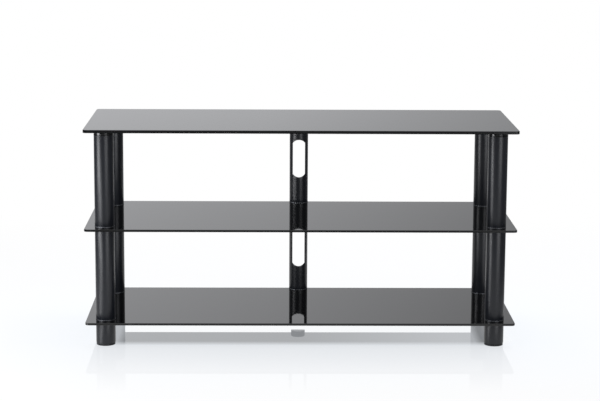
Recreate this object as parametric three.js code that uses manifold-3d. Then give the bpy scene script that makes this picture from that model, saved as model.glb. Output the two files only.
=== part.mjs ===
// Audio equipment rack: three black glass shelves held apart by four round posts, with a slotted,
// round-fronted cable channel at the rear centre of each bay.
// The rack stands on z = 0, centred on x and y. The front is towards -y, and left is towards -x.
// All lengths are in millimetres.

import * as THREE from 'three';
import { mergeVertices } from 'three/addons/utils/BufferGeometryUtils.js';
import Module from 'manifold-3d';

const wasm = await Module();
wasm.setup();

// Glass shelves.
const SHELF_WIDTH = 1100;
const SHELF_DEPTH = 420;
const SHELF_CORNER_RADIUS = 10;
const TOP_GLASS_THICKNESS = 8;
const LOWER_GLASS_THICKNESS = 6;
const GLASS_EDGE_CHAMFER = 0.7;

// Posts: one tube per bay, with the axis set in from the edges of the glass.
const POST_DIAMETER = 50;
const POST_WALL = 2;
const POST_TUBE_LENGTH = 234;
const POST_SIDE_INSET = 49;
const POST_FRONT_INSET = 50;
const POST_REAR_INSET = 50;

// Flanged plugs in the ends of the tubes.
const PLUG_FLANGE_THICKNESS = 1.5;
const PLUG_FLANGE_LIP = 0.4;
const PLUG_SPIGOT_LENGTH = 15;
const PLUG_THREAD_DEPTH = 12;

// Discs bonded under the top glass, each with a threaded spigot that screws into a plug.
const DISC_HEIGHT = 9;
const DISC_CHAMFER = 0.8;

// Feet: short closed tubes, each with a pushed-in pad.
const FOOT_LENGTH = 54.5;
const FOOT_HEAD_THICKNESS = 15;
const PAD_HEIGHT = 6;
const PAD_RIM_INSET = 1;
const PAD_SPIGOT_LENGTH = 8;

// Threaded studs through the glass, in the posts and in the cable channels.
const POST_STUD_DIAMETER = 8;
const CHANNEL_STUD_DIAMETER = 6;
const GLASS_HOLE_CLEARANCE = 1.5;

// Cable channel: half round at the front, with short straight legs to its open back.
const CHANNEL_DIAMETER = 50;
const CHANNEL_WALL = 2;
const CHANNEL_LEG = 5;
const CHANNEL_PLUG_LENGTH = 14;
const CHANNEL_THREAD_DEPTH = 10;
const CHANNEL_STUD_REAR_INSET = 15;

// Slot in the front of each channel, with shallow round ends.
const SLOT_WIDTH = 33;
const SLOT_LENGTH = 103;
const SLOT_END_RISE = 9;

// Half-round cap nut under the bottom glass, below the channels.
const CAP_DIAMETER = 38;
const CAP_HEIGHT = 8;
const CAP_CHAMFER = 1;
const CAP_THREAD_DEPTH = 6;

// Fits, and the overrun of every cutter.
const THREAD_CLEARANCE = 0.3;
const SPIGOT_CLEARANCE = 0.4;
const OVERRUN = 2;

// Facets of the round forms.
const TUBE_SEGMENTS = 36;
const PLUG_SEGMENTS = 24;
const DISC_SEGMENTS = 32;
const STUD_SEGMENTS = 12;
const HOLE_SEGMENTS = 16;
const ARC_SEGMENTS = 9;
const CORNER_SEGMENTS = 3;

// Radii.
const postRadius = POST_DIAMETER / 2;
const postBore = postRadius - POST_WALL;
const plugFlange = postRadius + PLUG_FLANGE_LIP;
const plugSpigot = postBore - SPIGOT_CLEARANCE;
const postStud = POST_STUD_DIAMETER / 2;
const postThread = postStud + THREAD_CLEARANCE;
const channelStud = CHANNEL_STUD_DIAMETER / 2;
const channelThread = channelStud + THREAD_CLEARANCE;
const channelRadius = CHANNEL_DIAMETER / 2;
const channelBore = channelRadius - CHANNEL_WALL;

// Levels, from the floor upwards.
const tubeStack = POST_TUBE_LENGTH + 2 * PLUG_FLANGE_THICKNESS;
const footLevel = PAD_HEIGHT;
const bottomGlassLevel = footLevel + FOOT_LENGTH;
const lowerBayLevel = bottomGlassLevel + LOWER_GLASS_THICKNESS;
const middleGlassLevel = lowerBayLevel + tubeStack;
const upperBayLevel = middleGlassLevel + LOWER_GLASS_THICKNESS;
const discLevel = upperBayLevel + tubeStack;
const topGlassLevel = discLevel + DISC_HEIGHT;

// Places of the posts and of the channels' axis and studs.
const rearEdge = SHELF_DEPTH / 2;
const postX = SHELF_WIDTH / 2 - POST_SIDE_INSET;
const frontPostY = -SHELF_DEPTH / 2 + POST_FRONT_INSET;
const rearPostY = rearEdge - POST_REAR_INSET;
const channelAxisY = rearEdge - CHANNEL_LEG;
const channelStudY = rearEdge - CHANNEL_STUD_REAR_INSET;
const POSTS = [
  { name: 'front_left', x: -postX, y: frontPostY },
  { name: 'front_right', x: postX, y: frontPostY },
  { name: 'rear_left', x: -postX, y: rearPostY },
  { name: 'rear_right', x: postX, y: rearPostY },
];

// Finishes.
const blackGlass = { color: 0x0b0c0e, roughness: 0.05, metalness: 0 };
const satinBlack = { color: 0x1b1c1f, roughness: 0.35, metalness: 0.7 };
const polishedBlack = { color: 0x141518, roughness: 0.15, metalness: 0.8 };
const darkMetal = { color: 0x4a4c50, roughness: 0.3, metalness: 0.9 };
const platedSteel = { color: 0xb4b7bb, roughness: 0.3, metalness: 1 };
const blackPlastic = { color: 0x1d1e20, roughness: 0.5, metalness: 0 };
const blackRubber = { color: 0x1a1a1c, roughness: 0.7, metalness: 0 };

const rack = new THREE.Group();

function addPiece(name, geometry, finish, x, y, z) {
  const piece = new THREE.Mesh(geometry, new THREE.MeshStandardMaterial(finish));
  piece.name = name;
  piece.position.set(x, y, z);
  rack.add(piece);
  return piece;
}

// Solids for cutting and joining.
function toSolid(geometry) {
  const bare = geometry.clone();
  bare.deleteAttribute('normal');
  bare.deleteAttribute('uv');
  const merged = mergeVertices(bare);
  return new wasm.Manifold(new wasm.Mesh({
    numProp: 3,
    vertProperties: Float32Array.from(merged.attributes.position.array),
    triVerts: Uint32Array.from(merged.index.array),
  }));
}

function toGeometry(solid) {
  const mesh = solid.getMesh();
  const geometry = new THREE.BufferGeometry();
  geometry.setAttribute('position', new THREE.BufferAttribute(mesh.vertProperties, mesh.numProp));
  geometry.setIndex(new THREE.BufferAttribute(mesh.triVerts, 1));
  geometry.computeVertexNormals();
  return geometry;
}

// A turned form about z, from a profile of [radius, height] pairs.
function turned(profile, segments) {
  const points = profile.map(([radius, height]) => new THREE.Vector2(radius, height));
  return new THREE.LatheGeometry(points, segments).rotateX(Math.PI / 2);
}

function rod(radius, length, segments) {
  return turned([[0, 0], [radius, 0], [radius, length], [0, length]], segments);
}

// A form of constant section along z.
function extruded(shape, length) {
  return new THREE.ExtrudeGeometry(shape, {
    depth: length,
    bevelEnabled: false,
    curveSegments: ARC_SEGMENTS,
  });
}

// A flat form of the given outline, chamfered round both faces.
function chamfered(outline, thickness, chamfer, segments) {
  const sheet = new THREE.ExtrudeGeometry(outline, {
    depth: thickness - 2 * chamfer,
    bevelEnabled: true,
    bevelThickness: chamfer,
    bevelSize: chamfer,
    bevelOffset: -chamfer,
    bevelSegments: 1,
    curveSegments: segments,
  });
  return sheet.translate(0, 0, chamfer);
}

// Glass sheet with round corners and chamfered edges, drilled at the given places.
function shelf(thickness, holes) {
  const halfWidth = SHELF_WIDTH / 2;
  const halfDepth = SHELF_DEPTH / 2;
  const radius = SHELF_CORNER_RADIUS;
  const outline = new THREE.Shape();
  outline.absarc(halfWidth - radius, halfDepth - radius, radius, 0, Math.PI / 2, false);
  outline.absarc(radius - halfWidth, halfDepth - radius, radius, Math.PI / 2, Math.PI, false);
  outline.absarc(radius - halfWidth, radius - halfDepth, radius, Math.PI, 1.5 * Math.PI, false);
  outline.absarc(halfWidth - radius, radius - halfDepth, radius, 1.5 * Math.PI, 2 * Math.PI, false);
  const sheet = chamfered(outline, thickness, GLASS_EDGE_CHAMFER, CORNER_SEGMENTS);
  if (holes.length === 0) {
    return sheet;
  }
  let solid = toSolid(sheet);
  for (const hole of holes) {
    const drill = rod(hole.radius, thickness + 2 * OVERRUN, HOLE_SEGMENTS);
    drill.translate(hole.x, hole.y, -OVERRUN);
    solid = solid.subtract(toSolid(drill));
  }
  return toGeometry(solid);
}

// Post tube, open at both ends.
function postTube() {
  return turned([
    [postBore, 0],
    [postRadius, 0],
    [postRadius, POST_TUBE_LENGTH],
    [postBore, POST_TUBE_LENGTH],
    [postBore, 0],
  ], TUBE_SEGMENTS);
}

// Plug for a tube's end: a flange against the glass, a spigot in the bore and a blind thread.
function tubePlug() {
  const top = PLUG_FLANGE_THICKNESS + PLUG_SPIGOT_LENGTH;
  return turned([
    [0, PLUG_THREAD_DEPTH],
    [postThread, PLUG_THREAD_DEPTH],
    [postThread, 0],
    [plugFlange, 0],
    [plugFlange, PLUG_FLANGE_THICKNESS],
    [plugSpigot, PLUG_FLANGE_THICKNESS],
    [plugSpigot, top],
    [0, top],
  ], PLUG_SEGMENTS);
}

// Disc bonded under the top glass, with its threaded spigot below.
function topDisc() {
  return turned([
    [0, -PLUG_THREAD_DEPTH],
    [postStud, -PLUG_THREAD_DEPTH],
    [postStud, 0],
    [postRadius - DISC_CHAMFER, 0],
    [postRadius, DISC_CHAMFER],
    [postRadius, DISC_HEIGHT],
    [0, DISC_HEIGHT],
  ], DISC_SEGMENTS);
}

// Foot: a tube with a solid head, drilled blind from above and open below.
function foot() {
  const head = FOOT_LENGTH - FOOT_HEAD_THICKNESS;
  const threadEnd = FOOT_LENGTH - PLUG_THREAD_DEPTH;
  return turned([
    [0, head],
    [postBore, head],
    [postBore, 0],
    [postRadius, 0],
    [postRadius, FOOT_LENGTH],
    [postThread, FOOT_LENGTH],
    [postThread, threadEnd],
    [0, threadEnd],
  ], TUBE_SEGMENTS);
}

// Pad under a foot: its rim bears on the foot's lower edge and its spigot holds it in the bore.
function footPad() {
  const rim = postRadius - PAD_RIM_INSET;
  const top = PAD_HEIGHT + PAD_SPIGOT_LENGTH;
  return turned([
    [0, 0],
    [rim, 0],
    [rim, PAD_HEIGHT],
    [plugSpigot, PAD_HEIGHT],
    [plugSpigot, top],
    [0, top],
  ], PLUG_SEGMENTS);
}

// Section of the channel's outside or inside: a half round towards -y with straight legs to the back.
function halfRoundOutline(radius, leg) {
  const outline = new THREE.Shape();
  outline.moveTo(-radius, leg);
  outline.lineTo(-radius, 0);
  outline.absarc(0, 0, radius, Math.PI, 2 * Math.PI, false);
  outline.lineTo(radius, leg);
  return outline;
}

// Cutter for the slot: straight sides with shallow round ends, running back from the channel's front.
function slotCutter(centreHeight) {
  const halfWidth = SLOT_WIDTH / 2;
  const shoulder = SLOT_LENGTH / 2 - SLOT_END_RISE;
  const endRadius = (halfWidth * halfWidth + SLOT_END_RISE * SLOT_END_RISE) / (2 * SLOT_END_RISE);
  const endCentre = SLOT_LENGTH / 2 - endRadius;
  const spread = Math.atan2(halfWidth, shoulder - endCentre);
  const outline = new THREE.Shape();
  outline.absarc(0, endCentre, endRadius, Math.PI / 2 - spread, Math.PI / 2 + spread, false);
  outline.absarc(0, -endCentre, endRadius, 1.5 * Math.PI - spread, 1.5 * Math.PI + spread, false);
  const cutter = extruded(outline, channelRadius + OVERRUN);
  return cutter.rotateX(Math.PI / 2).translate(0, 0, centreHeight);
}

// Cable channel: a half round shell, open at the back, with the slot half way up its front.
function cableChannel(length) {
  const outside = toSolid(extruded(halfRoundOutline(channelRadius, CHANNEL_LEG), length));
  const hollow = extruded(halfRoundOutline(channelBore, CHANNEL_LEG + OVERRUN), length + 2 * OVERRUN);
  hollow.translate(0, 0, -OVERRUN);
  const shell = outside.subtract(toSolid(hollow));
  return toGeometry(shell.subtract(toSolid(slotCutter(length / 2))));
}

// Plug for a channel's end: a plate of the channel's outline and a block that fills its bore,
// with a blind thread where a stud holds it.
function channelPlug(drilled) {
  const plate = halfRoundOutline(channelRadius + PLUG_FLANGE_LIP, CHANNEL_LEG);
  const block = halfRoundOutline(channelBore - SPIGOT_CLEARANCE, CHANNEL_LEG);
  const height = PLUG_FLANGE_THICKNESS + CHANNEL_PLUG_LENGTH;
  let solid = toSolid(extruded(plate, PLUG_FLANGE_THICKNESS)).add(toSolid(extruded(block, height)));
  if (drilled) {
    const drill = rod(channelThread, CHANNEL_THREAD_DEPTH + OVERRUN, HOLE_SEGMENTS);
    drill.translate(0, channelStudY - channelAxisY, -OVERRUN);
    solid = solid.subtract(toSolid(drill));
  }
  return toGeometry(solid);
}

// Cap nut: a low block of the channel's half-round outline, with its thread drilled blind from above.
function capNut() {
  const outline = halfRoundOutline(CAP_DIAMETER / 2, CHANNEL_LEG);
  const block = chamfered(outline, CAP_HEIGHT, CAP_CHAMFER, ARC_SEGMENTS);
  const drill = rod(channelThread, CAP_THREAD_DEPTH + OVERRUN, HOLE_SEGMENTS);
  drill.translate(0, channelStudY - channelAxisY, CAP_HEIGHT - CAP_THREAD_DEPTH);
  return toGeometry(toSolid(block).subtract(toSolid(drill)));
}

// A plug modelled with its flange down is turned over for the upper end of its tube or channel.
function turnedOver(geometry) {
  return geometry.rotateY(Math.PI);
}

// Shelves: the lower two are drilled for the studs, and the top one is left whole.
const studHoles = POSTS.map(({ x, y }) => ({ x, y, radius: postStud + GLASS_HOLE_CLEARANCE }));
studHoles.push({ x: 0, y: channelStudY, radius: channelStud + GLASS_HOLE_CLEARANCE });
addPiece('top_shelf', shelf(TOP_GLASS_THICKNESS, []), blackGlass, 0, 0, topGlassLevel);
addPiece('middle_shelf', shelf(LOWER_GLASS_THICKNESS, studHoles), blackGlass, 0, 0, middleGlassLevel);
addPiece('bottom_shelf', shelf(LOWER_GLASS_THICKNESS, studHoles), blackGlass, 0, 0, bottomGlassLevel);

// The four posts, each from the pad up to the bonded disc.
const studLength = LOWER_GLASS_THICKNESS + 2 * PLUG_THREAD_DEPTH;
for (const { name, x, y } of POSTS) {
  addPiece(`foot_pad_${name}`, footPad(), blackRubber, x, y, 0);
  addPiece(`foot_${name}`, foot(), satinBlack, x, y, footLevel);
  const bays = [['lower', lowerBayLevel], ['upper', upperBayLevel]];
  for (const [bay, level] of bays) {
    const stud = rod(postStud, studLength, STUD_SEGMENTS);
    const studLevel = level - LOWER_GLASS_THICKNESS - PLUG_THREAD_DEPTH;
    const headPlug = turnedOver(tubePlug());
    addPiece(`${bay}_stud_${name}`, stud, platedSteel, x, y, studLevel);
    addPiece(`${bay}_base_plug_${name}`, tubePlug(), darkMetal, x, y, level);
    addPiece(`${bay}_tube_${name}`, postTube(), satinBlack, x, y, level + PLUG_FLANGE_THICKNESS);
    addPiece(`${bay}_head_plug_${name}`, headPlug, darkMetal, x, y, level + tubeStack);
  }
  addPiece(`top_disc_${name}`, topDisc(), polishedBlack, x, y, discLevel);
}

// The cable channels. The upper one runs up to the top glass, where its plug is bonded.
const channels = [
  { bay: 'lower', level: lowerBayLevel, height: middleGlassLevel - lowerBayLevel, bonded: false },
  { bay: 'upper', level: upperBayLevel, height: topGlassLevel - upperBayLevel, bonded: true },
];
for (const { bay, level, height, bonded } of channels) {
  const channel = cableChannel(height - 2 * PLUG_FLANGE_THICKNESS);
  const headPlug = turnedOver(channelPlug(!bonded));
  const channelLevel = level + PLUG_FLANGE_THICKNESS;
  addPiece(`${bay}_channel_base_plug`, channelPlug(true), blackPlastic, 0, channelAxisY, level);
  addPiece(`${bay}_cable_channel`, channel, satinBlack, 0, channelAxisY, channelLevel);
  addPiece(`${bay}_channel_head_plug`, headPlug, blackPlastic, 0, channelAxisY, level + height);
}

// Studs of the channels, and the cap nut that the lower one ends in.
const upperChannelStud = rod(channelStud, LOWER_GLASS_THICKNESS + 2 * CHANNEL_THREAD_DEPTH, STUD_SEGMENTS);
const upperChannelStudLevel = middleGlassLevel - CHANNEL_THREAD_DEPTH;
addPiece('upper_channel_stud', upperChannelStud, platedSteel, 0, channelStudY, upperChannelStudLevel);
const lowerStudLength = CAP_THREAD_DEPTH + LOWER_GLASS_THICKNESS + CHANNEL_THREAD_DEPTH;
const lowerChannelStud = rod(channelStud, lowerStudLength, STUD_SEGMENTS);
const lowerChannelStudLevel = bottomGlassLevel - CAP_THREAD_DEPTH;
addPiece('lower_channel_stud', lowerChannelStud, platedSteel, 0, channelStudY, lowerChannelStudLevel);
addPiece('channel_cap_nut', capNut(), satinBlack, 0, channelAxisY, bottomGlassLevel - CAP_HEIGHT);

export default rack;
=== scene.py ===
"""Audio equipment rack: black glass shelves on satin black posts, in a pale studio.

The shapes repeat the sizes of the solids, in metres, with fine rounded edges that the solids leave out.
"""
import math

import bmesh
import bpy
import numpy as np
from mathutils import Matrix, Vector
from mathutils.geometry import tessellate_polygon


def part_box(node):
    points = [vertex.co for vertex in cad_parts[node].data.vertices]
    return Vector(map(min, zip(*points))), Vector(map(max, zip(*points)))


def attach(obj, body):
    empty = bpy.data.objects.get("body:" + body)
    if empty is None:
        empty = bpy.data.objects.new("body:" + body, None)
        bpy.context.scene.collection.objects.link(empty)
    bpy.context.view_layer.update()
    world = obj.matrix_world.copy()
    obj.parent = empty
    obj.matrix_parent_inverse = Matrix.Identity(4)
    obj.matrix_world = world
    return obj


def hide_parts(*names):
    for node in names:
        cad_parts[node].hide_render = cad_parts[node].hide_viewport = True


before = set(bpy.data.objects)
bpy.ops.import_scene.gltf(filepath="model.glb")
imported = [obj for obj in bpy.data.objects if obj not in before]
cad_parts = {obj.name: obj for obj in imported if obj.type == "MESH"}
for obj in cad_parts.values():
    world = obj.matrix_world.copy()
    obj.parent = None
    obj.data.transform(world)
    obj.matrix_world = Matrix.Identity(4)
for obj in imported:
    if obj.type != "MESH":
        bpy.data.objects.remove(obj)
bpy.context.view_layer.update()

MM = 0.001
TAU = 2 * math.pi

# sizes of the shelves
SHELF_WIDTH = 1100 * MM
SHELF_DEPTH = 420 * MM
SHELF_CORNER = 10 * MM
GLASS_ARRIS = 0.7 * MM
STUD_HOLE = 5.5 * MM
CHANNEL_HOLE = 4.5 * MM

# sizes of the posts and feet
POST_RADIUS = 25 * MM
POST_BORE = 23 * MM
FLANGE_RADIUS = 25.4 * MM
FLANGE_THICKNESS = 1.5 * MM
SPIGOT_RADIUS = 22.6 * MM
THREAD_RADIUS = 4.3 * MM
THREAD_DEPTH = 12 * MM
DISC_CHAMFER = 0.8 * MM
DISC_SPIGOT_RADIUS = 4 * MM
FOOT_HEAD = 15 * MM
PAD_RADIUS = 24 * MM
PAD_HEIGHT = 6 * MM

# sizes of the cable channel and its cap nut
CHANNEL_RADIUS = 25 * MM
CHANNEL_WALL = 2 * MM
CHANNEL_LEG = 5 * MM
CHANNEL_PLATE_LIP = 0.4 * MM
CHANNEL_PLUG_CLEARANCE = 0.4 * MM
CHANNEL_STUD_INSET = 15 * MM
CHANNEL_THREAD = 3.3 * MM
CHANNEL_THREAD_DEPTH = 10 * MM
SLOT_WIDTH = 33 * MM
SLOT_LENGTH = 103 * MM
SLOT_RISE = 9 * MM
CAP_RADIUS = 19 * MM
CAP_CHAMFER = 1 * MM
CAP_THREAD_DEPTH = 6 * MM

# roundings of the edges, from the finest
MOUTH_ROUND = 0.2 * MM
CHAMFER_ROUND = 0.3 * MM
FLANGE_ROUND = 0.35 * MM
EDGE_ROUND = 0.4 * MM
STUD_TIP_ROUND = 0.6 * MM
RIM_ROUND = 0.8 * MM
INNER_ROUND = 1 * MM

# steps of the meshes
POST_TURNS = 96
HOLE_TURNS = 40
ROUND_STEPS = 3
CORNER_STEPS = 16
HALF_ROUND_STEPS = 36
CHANNEL_STEPS_ACROSS = 44
CHANNEL_STEPS_UP = 52
CHANNEL_STEPS_INWARD = 12
CHANNEL_STEP_POWER = 0.8
SMOOTH_ANGLE = math.radians(32)

POSTS = ("front_left", "front_right", "rear_left", "rear_right")
BAYS = ("lower", "upper")
ENDS = ("base", "head")

scene = bpy.context.scene


# camera
# Fitted to the shelves' edges in the photograph: from the left of centre, slightly above.
CAMERA_PLACE = Vector((-0.0836, -4.9717, 1.2253))
CAMERA_YAW = 0.0169
CAMERA_PITCH = 0.1745
CAMERA_ROLL = 0.0055
CAMERA_LENS = 114.85
CAMERA_SENSOR = 36


def add_camera():
    """The camera looks along forward; right and up are turned about it by the roll."""
    sin_y, cos_y = math.sin(CAMERA_YAW), math.cos(CAMERA_YAW)
    sin_p, cos_p = math.sin(CAMERA_PITCH), math.cos(CAMERA_PITCH)
    sin_r, cos_r = math.sin(CAMERA_ROLL), math.cos(CAMERA_ROLL)
    forward = Vector((cos_p * sin_y, cos_p * cos_y, -sin_p))
    level_right = Vector((cos_y, -sin_y, 0))
    level_up = Vector((sin_p * sin_y, sin_p * cos_y, cos_p))
    right = cos_r * level_right + sin_r * level_up
    up = cos_r * level_up - sin_r * level_right
    turn = Matrix((right, up, -forward)).transposed()
    data = bpy.data.cameras.new("camera")
    data.sensor_width = CAMERA_SENSOR
    data.lens = CAMERA_LENS
    camera = bpy.data.objects.new("camera", data)
    camera.matrix_world = Matrix.Translation(CAMERA_PLACE) @ turn.to_4x4()
    scene.collection.objects.link(camera)
    scene.camera = camera


# materials
# Grains and marks that are finer on the real rack are drawn 0.25 to 0.7 mm coarse, so that they show.
# These are the sockets of the Mix node for colours, whose names it shares with its other types.
FACTOR, FIRST, SECOND, MIXED = 0, 6, 7, 2


def linear(code):
    """Linear colour with alpha from an sRGB hex code, by the sRGB curve."""
    parts = [int(code[i:i + 2], 16) / 255 for i in (0, 2, 4)]
    return tuple(c / 12.92 if c <= 0.04045 else ((c + 0.055) / 1.055) ** 2.4 for c in parts) + (1.0,)


def add(tree, kind, inputs=(), **settings):
    """Add a node with its settings; its inputs, in order or by socket, are values or links.

    A link is one of another node's outputs, or the node itself for its first output.
    """
    node = tree.nodes.new("ShaderNode" + kind)
    for name, setting in settings.items():
        setattr(node, name, setting)
    if not isinstance(inputs, dict):
        inputs = dict(enumerate(inputs))
    for socket, value in inputs.items():
        if isinstance(value, bpy.types.Node):
            value = value.outputs[0]
        if isinstance(value, bpy.types.NodeSocket):
            tree.links.new(value, node.inputs[socket])
        else:
            node.inputs[socket].default_value = value
    return node


def curve(tree, value, stops):
    """Curve of straight stretches through its stops (value, level), held at both ends.

    Each stretch is mapped from the level that the stretches before it give to that of its stop.
    """
    level = stops[0][1]
    for (start, _), (end, next_level) in zip(stops, stops[1:]):
        level = add(tree, "MapRange", (value, start, end, level, next_level))
    return level


def pattern(tree, size, stretch=(1, 1, 1), detail=2.0):
    """Noise on the piece itself whose features are about size across, stretched along its axes."""
    place = add(tree, "TexCoord").outputs["Object"]
    scale = [1 / (size * along) for along in stretch]
    stretched = add(tree, "Mapping", {"Vector": place, "Scale": scale})
    return add(tree, "TexNoise", {"Vector": stretched, "Scale": 1.0, "Detail": detail})


def surface(tree, tones, toning, grain, roughness, relief=0.0, metallic=0.0, spread=(0.3, 0.7)):
    """Surface whose toning mixes its two tones, and whose grain sets its roughness and relief.

    The roughness goes from its first to its second value over the spread of the grain's values,
    and the relief is the grain's height.
    """
    dark, light = tones
    tone = add(tree, "Mix", {FACTOR: toning, FIRST: linear(dark), SECOND: linear(light)}, data_type="RGBA")
    rough = add(tree, "MapRange", (grain, *spread, *roughness))
    inputs = {"Base Color": tone.outputs[MIXED], "Roughness": rough, "Metallic": metallic}
    if relief:
        inputs["Normal"] = add(tree, "Bump", {"Height": grain, "Strength": 1.0, "Distance": relief})
    return add(tree, "BsdfPrincipled", inputs)


def material(name, make_surface):
    """Material with the surface that a function makes in its empty node tree."""
    made = bpy.data.materials.new(name)
    made.use_nodes = True
    made.node_tree.nodes.clear()
    add(made.node_tree, "OutputMaterial", {"Surface": make_surface(made.node_tree)})
    return made


def glass_face(tree):
    """Float glass, coloured black through its depth and toughened.

    Fire-polished faces mirror what is round them, with faint dust and wiped smears that only
    soften the mirror image a little.
    """
    smears = pattern(tree, 90 * MM, stretch=(3, 1, 1), detail=4.0)
    dust = curve(tree, pattern(tree, 1.2 * MM, detail=1.0), ((0.62, 0), (0.8, 1)))
    return surface(tree, ("060708", "121314"), dust, smears, roughness=(0.028, 0.05), spread=(0.35, 0.7))


def glass_edge(tree):
    """The same glass where its edge was ground flat with arrises and polished.

    Fine wheel marks run along the edge and blur its reflection into a soft dark grey line.
    """
    marks = pattern(tree, 0.5 * MM, stretch=(40, 40, 1))
    return surface(tree, ("040506", "0c0e11"), marks, marks, roughness=(0.1, 0.18), relief=0.006 * MM)


def satin_black(tree):
    """Aluminium tube, bead-blasted and lacquered satin black.

    The blasting leaves a fine even grain under the lacquer, so highlights run down the tube as
    soft-edged stripes with a slight sparkle.
    """
    grain = pattern(tree, 0.6 * MM)
    drift = pattern(tree, 35 * MM, stretch=(1, 1, 4), detail=3.0)
    tones = ("11141a", "191c23")
    return surface(tree, tones, drift, grain, roughness=(0.28, 0.38), relief=0.012 * MM, spread=(0.25, 0.75))


def polished_black(tree):
    """Turned aluminium disc, polished and anodised black.

    Faint turning rings stay in the surface, and the polish keeps its highlight narrow.
    """
    rings = pattern(tree, 0.35 * MM, stretch=(60, 60, 1), detail=1.0)
    return surface(tree, ("0c0d0e", "141517"), rings, rings, roughness=(0.07, 0.14), relief=0.004 * MM)


def dark_metal(tree):
    """Steel plug, turned and black nickel plated.

    The flange's rim keeps fine lathe lines that catch the light as a thin grey ring.
    """
    lines = pattern(tree, 0.25 * MM, stretch=(60, 60, 1))
    tones = ("6c6e73", "86888d")
    return surface(tree, tones, lines, lines, roughness=(0.4, 0.54), relief=0.006 * MM, metallic=1.0)


def plated_steel(tree):
    """Rolled steel stud, bright zinc plated.

    The plating bath leaves a slight mottling, so its bright surface shines unevenly.
    """
    mottle = pattern(tree, 3 * MM, detail=4.0)
    tones = ("b9bbbd", "d2d3d2")
    return surface(tree, tones, mottle, mottle, roughness=(0.22, 0.36), relief=0.01 * MM, metallic=1.0)


def black_plastic(tree):
    """Moulded black plastic.

    It has the fine spark-eroded grain of its mould, so its highlights are dull and wide.
    """
    grain = pattern(tree, 0.7 * MM, detail=3.0)
    return surface(tree, ("161719", "202124"), grain, grain, roughness=(0.42, 0.56), relief=0.03 * MM)


def metallised_plastic(tree):
    """Plate of a channel's plug, where the moulded plastic was metallised in a dark chrome tone.

    The thin skin keeps the mould's grain, so the plate's edge shows as a soft light grey line.
    """
    grain = pattern(tree, 0.7 * MM, detail=3.0)
    tones = ("7e8085", "94969a")
    return surface(tree, tones, grain, grain, roughness=(0.46, 0.58), relief=0.01 * MM, metallic=1.0)


def black_rubber(tree):
    """Moulded black rubber.

    Its fine matt skin shows no highlight, and it is a little greyer where it is scuffed.
    """
    skin = pattern(tree, 0.4 * MM, detail=3.0)
    scuffs = curve(tree, pattern(tree, 4 * MM, stretch=(1, 1, 0.5), detail=3.0), ((0.45, 0), (0.75, 1)))
    return surface(tree, ("15171a", "24272b"), scuffs, skin, roughness=(0.6, 0.75), relief=0.02 * MM)


# forms
def mesh_piece(name, points, faces, materials, node, which=None):
    """A closed mesh, faces outwards, that rides on the rack and stands for one solid."""
    mesh = bpy.data.meshes.new(name)
    mesh.from_pydata(points, [], faces)
    for each in materials:
        mesh.materials.append(each)
    mesh.polygons.foreach_set("use_smooth", np.ones(len(faces), dtype=bool))
    if which is not None:
        mesh.polygons.foreach_set("material_index", which.astype(np.int32))
    work = bmesh.new()
    work.from_mesh(mesh)
    bmesh.ops.recalc_face_normals(work, faces=work.faces)
    work.to_mesh(mesh)
    work.free()
    mesh.set_sharp_from_angle(angle=SMOOTH_ANGLE)
    mesh.update()
    piece = bpy.data.objects.new(name, mesh)
    scene.collection.objects.link(piece)
    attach(piece, "root")
    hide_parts(node)
    return piece


def axis_of(node):
    """Centre line of a node's box, with its lowest and its highest level."""
    low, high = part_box(node)
    return (low.x + high.x) / 2, (low.y + high.y) / 2, low.z, high.z


def ring_faces(rows, count, close=False):
    """Quads between neighbouring rows of count points; close joins the last row to the first.

    A point's number is its row times count plus its place in the row, and each row is a ring.
    """
    row = np.arange(rows if close else rows - 1)[:, None]
    col = np.arange(count)[None, :]
    here = row * count
    above = (row + 1) % rows * count
    turn = (col + 1) % count
    return np.stack([here + col, here + turn, above + turn, above + col], -1).reshape(-1, 4)


def rounded_profile(corners):
    """Profile of (radius, height, rounding) corners with each sharp corner replaced by a small arc.

    Each arc runs between the points that lie the rounding away from the corner along its two
    sides, as the quadratic curve (1-t)^2 A + 2t(1-t) C + t^2 B with the corner C as its control.
    """
    places = np.array(corners)[:, :2]
    t = np.linspace(0, 1, ROUND_STEPS + 1)[:, None]
    parts = []
    for i, (_, _, rounding) in enumerate(corners):
        here = places[i]
        if rounding == 0:
            parts.append(here[None])
            continue
        before = places[i - 1] - here
        after = places[(i + 1) % len(places)] - here
        start = here + before / np.linalg.norm(before) * rounding
        end = here + after / np.linalg.norm(after) * rounding
        parts.append((1 - t) ** 2 * start + 2 * t * (1 - t) * here + t ** 2 * end)
    return np.concatenate(parts)


def turned(profile, centre):
    """Surface of revolution about a vertical axis: (r cos a, r sin a, h) for each profile point (r, h).

    A profile that starts and ends on the axis is closed by fans at its poles; any other profile is
    joined back to its start.
    """
    around = np.arange(POST_TURNS)
    angles = around * TAU / POST_TURNS
    on_axis = profile[0, 0] == 0
    rim = profile[1:-1] if on_axis else profile
    grid = np.empty((len(rim), POST_TURNS, 3))
    grid[..., 0] = centre[0] + rim[:, 0, None] * np.cos(angles)
    grid[..., 1] = centre[1] + rim[:, 0, None] * np.sin(angles)
    grid[..., 2] = centre[2] + rim[:, 1, None]
    points = grid.reshape(-1, 3)
    faces = ring_faces(len(rim), POST_TURNS, close=not on_axis).tolist()
    if on_axis:
        pole = np.full(POST_TURNS, len(points))
        after = (around + 1) % POST_TURNS
        last = (len(rim) - 1) * POST_TURNS
        faces += np.stack([pole, after, around], -1).tolist()
        faces += np.stack([pole + 1, last + around, last + after], -1).tolist()
        poles = [(centre[0], centre[1], centre[2] + profile[i, 1]) for i in (0, -1)]
        points = np.vstack([points, poles])
    return points, faces


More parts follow.
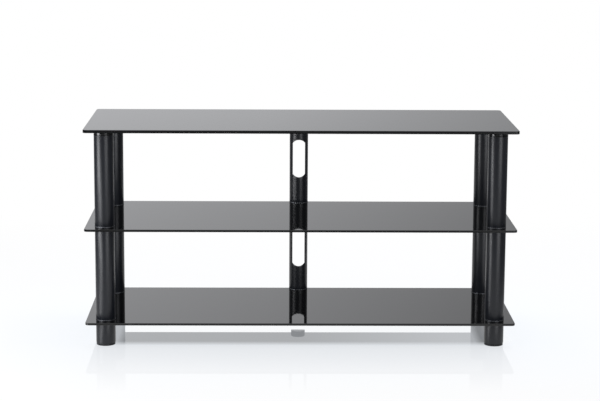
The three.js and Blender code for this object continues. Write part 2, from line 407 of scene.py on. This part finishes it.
def turned_piece(name, corners, centre, finish, node, turned_over=False):
    """A turned piece that stands for one solid; turned_over mirrors its heights."""
    profile = rounded_profile(corners)
    if turned_over:
        profile = profile * (1, -1)
    points, faces = turned(profile, centre)
    return mesh_piece(name, points, faces, [finish], node)


def at_height(outline, height):
    """Points of a flat outline at one height."""
    return np.column_stack([outline, np.full(len(outline), height)])


def stacked(rows, holes=()):
    """Closed form from rows of one outline each, (points, height), capped by a flat face at both ends.

    Each row is its outline laid flat at its height, and quads join it to the next row. Holes
    (x, y, radius, depth) are rings (x + r cos a, y + r sin a) drilled from the first row's face; a
    depth of None goes through. Returns the points, the faces and how many come before the caps.
    """
    count = len(rows[0][0])
    first, last = rows[0][1], rows[-1][1]
    parts = [at_height(outline, height) for outline, height in rows]
    faces = ring_faces(len(rows), count).tolist()
    caps = {first: [np.arange(count)], last: [np.arange(count) + (len(rows) - 1) * count]}
    angles = np.arange(HOLE_TURNS) * TAU / HOLE_TURNS
    circle = np.stack([np.cos(angles), np.sin(angles)], -1)
    start = len(rows) * count
    for x, y, radius, depth in holes:
        outline = circle * radius + (x, y)
        end = last if depth is None else first + depth
        parts += [at_height(outline, first), at_height(outline, end)]
        faces += (ring_faces(2, HOLE_TURNS) + start).tolist()
        mouth = np.arange(HOLE_TURNS) + start
        bottom = mouth + HOLE_TURNS
        caps[first].append(mouth)
        if depth is None:
            caps[last].append(bottom)
        else:
            faces.append(bottom.tolist())
        start += 2 * HOLE_TURNS
    points = np.vstack(parts)
    sides = len(faces)
    for loops in caps.values():
        triangles = np.array(tessellate_polygon([points[loop] for loop in loops]))
        faces += np.concatenate(loops)[triangles].tolist()
    return points, faces, sides


# posts and feet
def add_tube(bay, post, finish):
    """Post tube of one bay: a plain tube with eased outer rims."""
    node = f"{bay}_tube_{post}"
    x, y, low, high = axis_of(node)
    length = high - low
    corners = [
        (POST_BORE, 0, 0),
        (POST_RADIUS, 0, EDGE_ROUND),
        (POST_RADIUS, length, EDGE_ROUND),
        (POST_BORE, length, 0),
    ]
    turned_piece(f"post_{bay}_{post}", corners, (x, y, low), finish, node)


def add_plug(bay, end, post, finish):
    """Flanged plug: the rim of its flange is the thin ring seen where the post meets the glass."""
    node = f"{bay}_{end}_plug_{post}"
    x, y, low, high = axis_of(node)
    top = high - low
    corners = [
        (0, THREAD_DEPTH, 0),
        (THREAD_RADIUS, THREAD_DEPTH, 0),
        (THREAD_RADIUS, 0, MOUTH_ROUND),
        (FLANGE_RADIUS, 0, FLANGE_ROUND),
        (FLANGE_RADIUS, FLANGE_THICKNESS, FLANGE_ROUND),
        (SPIGOT_RADIUS, FLANGE_THICKNESS, 0),
        (SPIGOT_RADIUS, top, RIM_ROUND),
        (0, top, 0),
    ]
    over = end == "head"
    level = high if over else low
    turned_piece(f"plug_{bay}_{end}_{post}", corners, (x, y, level), finish, node, over)


def add_disc(post, finish):
    """Polished disc bonded under the top glass, with its threaded spigot."""
    node = f"top_disc_{post}"
    x, y, low, high = axis_of(node)
    top = high - low
    corners = [
        (0, 0, 0),
        (DISC_SPIGOT_RADIUS, 0, STUD_TIP_ROUND),
        (DISC_SPIGOT_RADIUS, THREAD_DEPTH, 0),
        (POST_RADIUS - DISC_CHAMFER, THREAD_DEPTH, CHAMFER_ROUND),
        (POST_RADIUS, THREAD_DEPTH + DISC_CHAMFER, CHAMFER_ROUND),
        (POST_RADIUS, top, CHAMFER_ROUND),
        (0, top, 0),
    ]
    turned_piece(f"collar_{post}", corners, (x, y, low), finish, node)


def add_foot(post, finish):
    """Foot: a short tube with a solid head, open below."""
    node = f"foot_{post}"
    x, y, low, high = axis_of(node)
    length = high - low
    corners = [
        (0, length - FOOT_HEAD, 0),
        (POST_BORE, length - FOOT_HEAD, INNER_ROUND),
        (POST_BORE, 0, CHAMFER_ROUND),
        (POST_RADIUS, 0, RIM_ROUND),
        (POST_RADIUS, length, EDGE_ROUND),
        (THREAD_RADIUS, length, MOUTH_ROUND),
        (THREAD_RADIUS, length - THREAD_DEPTH, 0),
        (0, length - THREAD_DEPTH, 0),
    ]
    turned_piece(f"foot_tube_{post}", corners, (x, y, low), finish, node)


def add_pad(post, finish):
    """Rubber pad: a disc under the foot's rim, with a spigot pushed into its bore."""
    node = f"foot_pad_{post}"
    x, y, low, high = axis_of(node)
    corners = [
        (0, 0, 0),
        (PAD_RADIUS, 0, RIM_ROUND),
        (PAD_RADIUS, PAD_HEIGHT, CHAMFER_ROUND),
        (SPIGOT_RADIUS, PAD_HEIGHT, 0),
        (SPIGOT_RADIUS, high - low, INNER_ROUND),
        (0, high - low, 0),
    ]
    turned_piece(f"pad_{post}", corners, (x, y, low), finish, node)


# glass
def corner_outline(inset):
    """Rounded rectangle of the shelf, drawn in by inset: four quarter circles joined by straight sides.

    Each quarter is its corner's centre plus the radius times (cos a, sin a).
    """
    radius = SHELF_CORNER - inset
    middle = np.array((SHELF_WIDTH, SHELF_DEPTH)) / 2 - SHELF_CORNER
    turn = np.linspace(0, TAU / 4, CORNER_STEPS + 1)
    parts = []
    for k, signs in enumerate(((1, 1), (-1, 1), (-1, -1), (1, -1))):
        angle = turn + k * TAU / 4
        parts.append(middle * signs + radius * np.stack([np.cos(angle), np.sin(angle)], -1))
    return np.concatenate(parts)


def add_glass(node, holes, face, edge):
    """Glass sheet: outline rows down its arrises and flat edge, with the stud holes right through."""
    low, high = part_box(node)
    rows = [
        (corner_outline(GLASS_ARRIS), high.z),
        (corner_outline(0), high.z - GLASS_ARRIS),
        (corner_outline(0), low.z + GLASS_ARRIS),
        (corner_outline(GLASS_ARRIS), low.z),
    ]
    points, faces, sides = stacked(rows, holes)
    name = f"glass_{node.split('_')[0]}"
    polished = np.arange(len(faces)) < sides
    return mesh_piece(name, points, faces, [face, edge], node, polished)


# cable channel
def loop_of(bottom, right):
    """Closed loop from its bottom and right sides: the other two are these turned by half a turn."""
    return np.concatenate([bottom[:-1], right[:-1], -bottom[:-1], -right[:-1]])


def slot_loop(grow):
    """Slot outline about its centre as (x, z): straight sides and shallow round ends, grown by grow.

    An end is an arc (r sin a, r cos a) whose width w and rise h give r = (w^2 / 4 + h^2) / (2 h).
    """
    half = SLOT_WIDTH / 2
    radius = (half * half + SLOT_RISE * SLOT_RISE) / (2 * SLOT_RISE)
    end_centre = SLOT_LENGTH / 2 - radius
    spread = math.asin(half / radius)
    angle = np.linspace(-spread, spread, CHANNEL_STEPS_ACROSS + 1)
    bottom = np.stack([(radius + grow) * np.sin(angle), -end_centre - (radius + grow) * np.cos(angle)], -1)
    bottom[:, 0] = np.clip(bottom[:, 0], -half - grow, half + grow)
    side = np.linspace(bottom[-1, 1], -bottom[-1, 1], CHANNEL_STEPS_UP + 1)
    right = np.stack([np.full_like(side, bottom[-1, 0]), side], -1)
    return loop_of(bottom, right)


def border_loop(inset, length):
    """Border of the unrolled channel about its centre as (arc length, z), drawn in by inset.

    It is a rectangle whose half width is a quarter of the circle plus one leg.
    """
    half = CHANNEL_RADIUS * TAU / 4 + CHANNEL_LEG - inset
    tall = length / 2 - inset
    across = np.linspace(-half, half, CHANNEL_STEPS_ACROSS + 1)
    upward = np.linspace(-tall, tall, CHANNEL_STEPS_UP + 1)
    bottom = np.stack([across, np.full_like(across, -tall)], -1)
    right = np.stack([np.full_like(upward, half), upward], -1)
    return loop_of(bottom, right)


def on_channel(loop, depth):
    """Bend (arc length, z) onto the half round with its straight legs, depth into the wall.

    Within a quarter turn of the front, x = R sin(s/R0) and y = -R cos(s/R0) with R = R0 - depth;
    beyond it x stays at R and y runs straight back.
    """
    radius = CHANNEL_RADIUS - depth
    quarter = CHANNEL_RADIUS * TAU / 4
    s = loop[:, 0]
    angle = np.clip(s, -quarter, quarter) / CHANNEL_RADIUS
    back = np.maximum(np.abs(s) - quarter, 0)
    return np.stack([radius * np.sin(angle), back - radius * np.cos(angle), loop[:, 1]], -1)


def slot_on_channel(grow, depth):
    """Slot outline as (arc length, z) on the wall at this depth: s = R0 asin(x / R).

    So its sides stay straight in front view.
    """
    loop = slot_loop(grow)
    radius = CHANNEL_RADIUS - depth
    return np.stack([np.arcsin(loop[:, 0] / radius) * CHANNEL_RADIUS, loop[:, 1]], -1)


def add_channel(bay, finish):
    """Half-round shell with a slot: rows from the border in to the slot outside, round the slot's
    edge, back to the border inside and round the border's edge, closed into one ring of rows.

    A row on a wall is (1 - share) border + share slot, bent onto the channel. The edges are
    rounded by quarter circles: e (1 - sin a) along the wall and e (1 - cos a) into it.
    """
    node = f"{bay}_cable_channel"
    low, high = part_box(node)
    centre = np.array(((low.x + high.x) / 2, high.y - CHANNEL_LEG, (low.z + high.z) / 2))
    length = high.z - low.z
    shares = np.linspace(0, 1, CHANNEL_STEPS_INWARD + 1) ** CHANNEL_STEP_POWER
    turn = np.linspace(0, TAU / 4, ROUND_STEPS + 1)
    rim = [(EDGE_ROUND * (1 - math.sin(a)), EDGE_ROUND * (1 - math.cos(a))) for a in turn]
    rim += [(inset, CHANNEL_WALL - depth) for inset, depth in reversed(rim)]
    rows = []
    for share in shares[:-1]:
        loop = border_loop(EDGE_ROUND, length) * (1 - share) + slot_on_channel(EDGE_ROUND, 0) * share
        rows.append(on_channel(loop, 0))
    for grow, depth in rim:
        rows.append(on_channel(slot_on_channel(grow, depth), depth))
    for share in reversed(shares[1:-1]):
        slot = slot_on_channel(EDGE_ROUND, CHANNEL_WALL)
        loop = border_loop(EDGE_ROUND, length) * (1 - share) + slot * share
        rows.append(on_channel(loop, CHANNEL_WALL))
    for inset, depth in reversed(rim[1:]):
        rows.append(on_channel(border_loop(inset, length), depth))
    points = np.concatenate(rows) + centre
    faces = ring_faces(len(rows), len(rows[0]), close=True)
    return mesh_piece(f"column_{bay}", points, faces.tolist(), [finish], node)


def half_round(radius, drawn_in, centre):
    """Outline about a centre: half circle towards the front, with legs to a flat back drawn in a little.

    The half circle is (R sin a, -R cos a) over half a turn, and the legs end at (-R, leg) and (R, leg).
    """
    leg = CHANNEL_LEG - drawn_in
    angle = np.linspace(-TAU / 4, TAU / 4, HALF_ROUND_STEPS + 1)
    arc = np.stack([radius * np.sin(angle), -radius * np.cos(angle)], -1)
    return np.concatenate([[(-radius, leg)], arc, [(radius, leg)]]) + centre


def add_channel_plug(bay, end, block, plate):
    """End plug of a channel: plate with an eased rim, and the block in the bore, drilled for its stud."""
    node = f"{bay}_channel_{end}_plug"
    low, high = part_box(node)
    over = end == "head"
    flip = -1 if over else 1
    level = high.z if over else low.z
    centre = ((low.x + high.x) / 2, high.y - CHANNEL_LEG)
    rim = CHANNEL_RADIUS + CHANNEL_PLATE_LIP
    bore = CHANNEL_RADIUS - CHANNEL_WALL - CHANNEL_PLUG_CLEARANCE
    ease = CHAMFER_ROUND
    plate_rows = [
        (rim - ease, ease, 0),
        (rim, 0, ease),
        (rim, 0, FLANGE_THICKNESS - ease),
        (rim - ease, ease, FLANGE_THICKNESS),
    ]
    block_rows = [
        (bore, ease, FLANGE_THICKNESS),
        (bore, ease, high.z - low.z),
    ]
    rows = [
        (half_round(radius, drawn_in, centre), level + flip * height)
        for radius, drawn_in, height in plate_rows + block_rows
    ]
    bonded = bay == "upper" and over
    drill = (centre[0], high.y - CHANNEL_STUD_INSET, CHANNEL_THREAD, flip * CHANNEL_THREAD_DEPTH)
    points, faces, _ = stacked(rows, [] if bonded else [drill])
    on_rim = np.arange(len(faces)) < (len(plate_rows) - 1) * len(rows[0][0])
    name = f"column_plug_{bay}_{end}"
    return mesh_piece(name, points, faces, [block, plate], node, on_rim)


def add_cap(finish):
    """Half-round cap nut under the bottom glass: a low block with chamfered edges, drilled from above."""
    node = "channel_cap_nut"
    low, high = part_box(node)
    centre = ((low.x + high.x) / 2, high.y - CHANNEL_LEG)
    narrow = half_round(CAP_RADIUS - CAP_CHAMFER, CAP_CHAMFER, centre)
    full = half_round(CAP_RADIUS, 0, centre)
    rows = [
        (narrow, high.z),
        (full, high.z - CAP_CHAMFER),
        (full, low.z + CAP_CHAMFER),
        (narrow, low.z),
    ]
    drill = (centre[0], high.y - CHANNEL_STUD_INSET, CHANNEL_THREAD, -CAP_THREAD_DEPTH)
    points, faces, _ = stacked(rows, [drill])
    mesh_piece("channel_cap", points, faces, [finish], node)


# studio
FLOOR_SIZE = 30.0

# Colours of light are linear, because they may be brighter than white.
WHITE = (1.0, 1.0, 1.0, 1.0)
PAINTED_COOL_WHITE = (1.0, 1.04, 1.09, 1.0)
COOL_GLOSS = (0.965, 0.973, 1.0, 1.0)

# Curves over the floor, as stops of a place in metres and a level there.
# The mirror image's share is faint round the rack and strong right under it.
NEAR_ACROSS = ((-0.9, 0), (-0.6, 1), (0.6, 1), (0.9, 0))
NEAR_ALONG = ((-0.62, 0), (-0.14, 0.17), (0.14, 0.17), (0.62, 0))
UNDER_LEFT = ((-0.56, 0), (-0.52, 0.317), (-0.475, 0.317), (-0.455, 0.54))
UNDER_RIGHT = ((0, 0.54), (0.4, 0.357), (0.455, 0.357), (0.475, 0.575), (0.52, 0.575), (0.56, 0))
UNDER_ALONG = ((-0.178, 0), (-0.133, 1), (0.21, 1), (0.27, 0))
# Where the floor mirrors, its white glow is painted a little cool, as a painted tint of the reflection.
PAINTED_COOL_TINT = ((0, 0), (0.2, 1))
# The share of the lit floor, which holds the soft shadow, fades away from the rack.
LIT_AROUND = ((0.7, 0.17), (1.6, 0))
# In reflections the floor is a pale sheet, so these give its brightness.
SHEET_ACROSS = ((-1.8, 0.1), (-1.1, 1), (0.7, 1), (1.3, 0.1))
SHEET_ALONG = ((-2.2, 0.3), (-0.5, 0.95))
SHEET_GLOSS_SHARE = 0.3
SHEET_ROUGHNESS = 0.12

# Curves over the world, as stops of one part of the direction and the brightness that gloss sees there.
BACKDROP_ACROSS = ((-0.1, 0.88), (0, 0.74), (0.13, 0.4884))
OVERHEAD = ((0.72, 0.22), (1.0, 1.3))
# Low on the backdrop a factor that grows from left to right brightens it, and ends over this rise.
LOW_FACTOR_ACROSS = ((-0.1, 1.02), (0, 1.09))
LOW_FACTOR_RISE = (0.13, 0.18)
# Between these directions the backdrop passes into what is overhead and at the sides.
BACKDROP_TOP = (0.35, 0.75)
BACKDROP_SIDE = (0.5, 0.85)
# The rays that light matt surfaces see this brightness everywhere.
WORLD_FILL = 0.6


def floor_surface(tree):
    """Pale glossy floor: white to the camera with a soft shadow and a mirror image that fades
    away from the rack; in reflections it is a pale sheet a little wider than the rack.
    """
    path = add(tree, "LightPath").outputs
    place = add(tree, "TexCoord").outputs["Object"]
    x, y, _ = add(tree, "SeparateXYZ", (place,)).outputs
    near_x = curve(tree, x, NEAR_ACROSS)
    near_y = curve(tree, y, NEAR_ALONG)
    near = add(tree, "Math", (near_x, near_y), operation="MULTIPLY")
    under_x = curve(tree, x, UNDER_LEFT + UNDER_RIGHT)
    under_y = curve(tree, y, UNDER_ALONG)
    under = add(tree, "Math", (under_x, under_y), operation="MULTIPLY")
    mirrored = add(tree, "Math", (near, under), operation="ADD")
    cloud = pattern(tree, 900 * MM)
    tones = {FACTOR: cloud, FIRST: linear("e6e8eb"), SECOND: linear("eaecef")}
    tone = add(tree, "Mix", tones, data_type="RGBA").outputs[MIXED]
    lit = add(tree, "BsdfDiffuse", {"Color": tone})
    # Painted reflection tint: the glow turns cool where the floor mirrors, not from any colour of the floor.
    painted_cooling = {FACTOR: curve(tree, mirrored, PAINTED_COOL_TINT), FIRST: WHITE, SECOND: PAINTED_COOL_WHITE}
    cool = add(tree, "Mix", painted_cooling, data_type="RGBA").outputs[MIXED]
    plain = add(tree, "Emission", {"Color": cool, "Strength": 1.0})
    away_x = add(tree, "Math", (x,), operation="ABSOLUTE")
    away_y = add(tree, "Math", (y,), operation="ABSOLUTE")
    away = add(tree, "Math", (away_x, away_y), operation="MAXIMUM")
    pale = add(tree, "MixShader", (curve(tree, away, LIT_AROUND), plain, lit))
    mirror = add(tree, "BsdfGlossy", {"Color": WHITE, "Roughness": 0.0})
    seen = add(tree, "MixShader", (mirrored, pale, mirror))
    sheet_x = curve(tree, x, SHEET_ACROSS)
    sheet_y = curve(tree, y, SHEET_ALONG)
    sheet = add(tree, "Math", (sheet_x, sheet_y), operation="MULTIPLY")
    glow = add(tree, "Emission", {"Color": WHITE, "Strength": sheet})
    soft_mirror = add(tree, "BsdfGlossy", {"Color": WHITE, "Roughness": SHEET_ROUGHNESS})
    reflected = add(tree, "MixShader", (SHEET_GLOSS_SHARE, glow, soft_mirror))
    unseen = add(tree, "MixShader", (path["Is Glossy Ray"], lit, reflected))
    return add(tree, "MixShader", (path["Is Camera Ray"], unseen, seen))


def add_floor():
    """Square floor under the rack."""
    half = FLOOR_SIZE / 2
    corners = [(-half, -half, 0), (half, -half, 0), (half, half, 0), (-half, half, 0)]
    mesh = bpy.data.meshes.new("floor")
    mesh.from_pydata(corners, [], [(0, 1, 2, 3)])
    mesh.materials.append(material("pale_studio_floor", floor_surface))
    floor = bpy.data.objects.new("floor", mesh)
    scene.collection.objects.link(floor)


def add_world():
    """White to the camera and in sharp mirror images; in reflections a pale backdrop, brighter on
    its left than on its right, between dark sides and under a ceiling that is bright in its middle.
    """
    scene.world = bpy.data.worlds.new("studio")
    scene.world.use_nodes = True
    tree = scene.world.node_tree
    tree.nodes.clear()
    path = add(tree, "LightPath").outputs
    way = add(tree, "TexCoord").outputs["Generated"]
    x, y, z = add(tree, "SeparateXYZ", (way,)).outputs
    across = curve(tree, x, BACKDROP_ACROSS)
    low_factor = curve(tree, x, LOW_FACTOR_ACROSS)
    factor = add(tree, "MapRange", (z, *LOW_FACTOR_RISE, low_factor, 1.0))
    backdrop = add(tree, "Math", (across, factor), operation="MULTIPLY")
    overhead = curve(tree, z, OVERHEAD)
    behind = add(tree, "MapRange", (z, *BACKDROP_TOP, backdrop, overhead))
    gloss = add(tree, "MapRange", (y, *BACKDROP_SIDE, overhead, behind))
    rays = (path["Is Camera Ray"], path["Is Singular Ray"])
    plain = add(tree, "Math", rays, operation="MAXIMUM")
    other = add(tree, "MapRange", (path["Is Glossy Ray"], 0, 1, WORLD_FILL, gloss))
    strength = add(tree, "MapRange", (plain, 0, 1, other, 1.0))
    colours = {FACTOR: plain, FIRST: COOL_GLOSS, SECOND: WHITE}
    colour = add(tree, "Mix", colours, data_type="RGBA").outputs[MIXED]
    back = add(tree, "Background", {"Color": colour, "Strength": strength})
    add(tree, "OutputWorld", {"Surface": back})


def light_group(name, pieces, state):
    """Collection of pieces that a lamp is to reach alone, or that it is to leave out."""
    group = bpy.data.collections.new(name)
    for piece in pieces:
        group.objects.link(piece)
    for row in group.collection_objects:
        row.light_linking.link_state = state
    return group


def add_softbox(name, place, target, width, height, radiance, lights=None, shaded_by=None, mirrored=True):
    """Rectangular lamp facing a point; its power is the radiance times its area and pi.

    One group says which pieces it lights, and one which pieces shade it; with none it is all.
    """
    data = bpy.data.lights.new(name, "AREA")
    data.color = COOL_GLOSS[:3]
    data.shape = "RECTANGLE"
    data.size = width
    data.size_y = height
    data.energy = radiance * math.pi * width * height
    lamp = bpy.data.objects.new(name, data)
    way = Vector(target) - Vector(place)
    lamp.matrix_world = Matrix.Translation(place) @ way.to_track_quat("-Z", "Y").to_matrix().to_4x4()
    lamp.visible_camera = False
    lamp.visible_glossy = mirrored
    lamp.light_linking.receiver_collection = lights
    lamp.light_linking.blocker_collection = shaded_by
    scene.collection.objects.link(lamp)


# the rack
add_camera()

GLASS_FACE = material("black_float_glass", glass_face)
GLASS_EDGE = material("polished_glass_edge", glass_edge)
SATIN = material("satin_black_lacquer", satin_black)
POLISHED = material("polished_black_anodised", polished_black)
DARK = material("black_nickel_steel", dark_metal)
PLATED = material("bright_zinc_steel", plated_steel)
PLASTIC = material("moulded_black_plastic", black_plastic)
METALLISED = material("metallised_black_plastic", metallised_plastic)
RUBBER = material("moulded_black_rubber", black_rubber)

stud_holes = [(*axis_of(f"foot_{post}")[:2], STUD_HOLE, None) for post in POSTS]
stud_holes.append((*axis_of("lower_channel_stud")[:2], CHANNEL_HOLE, None))
sheets = [
    add_glass("top_shelf", [], GLASS_FACE, GLASS_EDGE),
    add_glass("middle_shelf", stud_holes, GLASS_FACE, GLASS_EDGE),
    add_glass("bottom_shelf", stud_holes, GLASS_FACE, GLASS_EDGE),
]
for post in POSTS:
    add_foot(post, SATIN)
    add_pad(post, RUBBER)
    add_disc(post, POLISHED)
    for bay in BAYS:
        add_tube(bay, post, SATIN)
        add_plug(bay, "base", post, DARK)
        add_plug(bay, "head", post, POLISHED if bay == "upper" else DARK)
column = {}
for bay in BAYS:
    column[bay] = [add_channel(bay, SATIN)]
    column[bay] += [add_channel_plug(bay, end, PLASTIC, METALLISED) for end in ENDS]
add_cap(SATIN)

# The studs keep their solids and get a plated finish.
for name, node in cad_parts.items():
    if "stud" in name:
        for slot in node.material_slots:
            slot.material = PLATED

# the studio
# The glass is kept from the low lamps, as by flags beside them, so that no sheet mirrors a lamp.
# The strips stand for the lamps' mirror images in the middle sheet, which light the upper column,
# so the glass doesn't shade them.
add_floor()
add_world()
off_glass = light_group("off_glass", sheets, "EXCLUDE")
upper_column = light_group("upper_column", column["upper"], "INCLUDE")
add_softbox(
    "key_left", (-1.6, -0.8, 0.4), (0, 0, 0.34), width=0.7, height=0.42, radiance=9.5,
    lights=off_glass,
)
add_softbox(
    "key_low", (-1.3, -1.1, 0.13), (0, 0, 0.13), width=0.6, height=0.25, radiance=6.0,
    lights=off_glass, shaded_by=off_glass,
)
add_softbox(
    "fill_right", (3.9, -7.0, 0.7), (0, 0, 0.7), width=4.4, height=1.2, radiance=5.2,
    lights=off_glass,
)
add_softbox(
    "column_strip_left", (-1.3, -0.33, 0.12), (0, 0.14, 0.34), width=0.28, height=0.2, radiance=5.6,
    lights=upper_column, shaded_by=off_glass,
)
add_softbox(
    "column_strip_right", (0.63, -1.09, 0.1), (0, 0.14, 0.32), width=0.24, height=0.16, radiance=3.0,
    lights=upper_column, shaded_by=off_glass,
)
add_softbox(
    "top_soft", (0.3, 0.6, 3.2), (0, 0, 0), width=2.6, height=2.0, radiance=4.6,
    mirrored=False,
)

scene.view_settings.view_transform = "Standard"
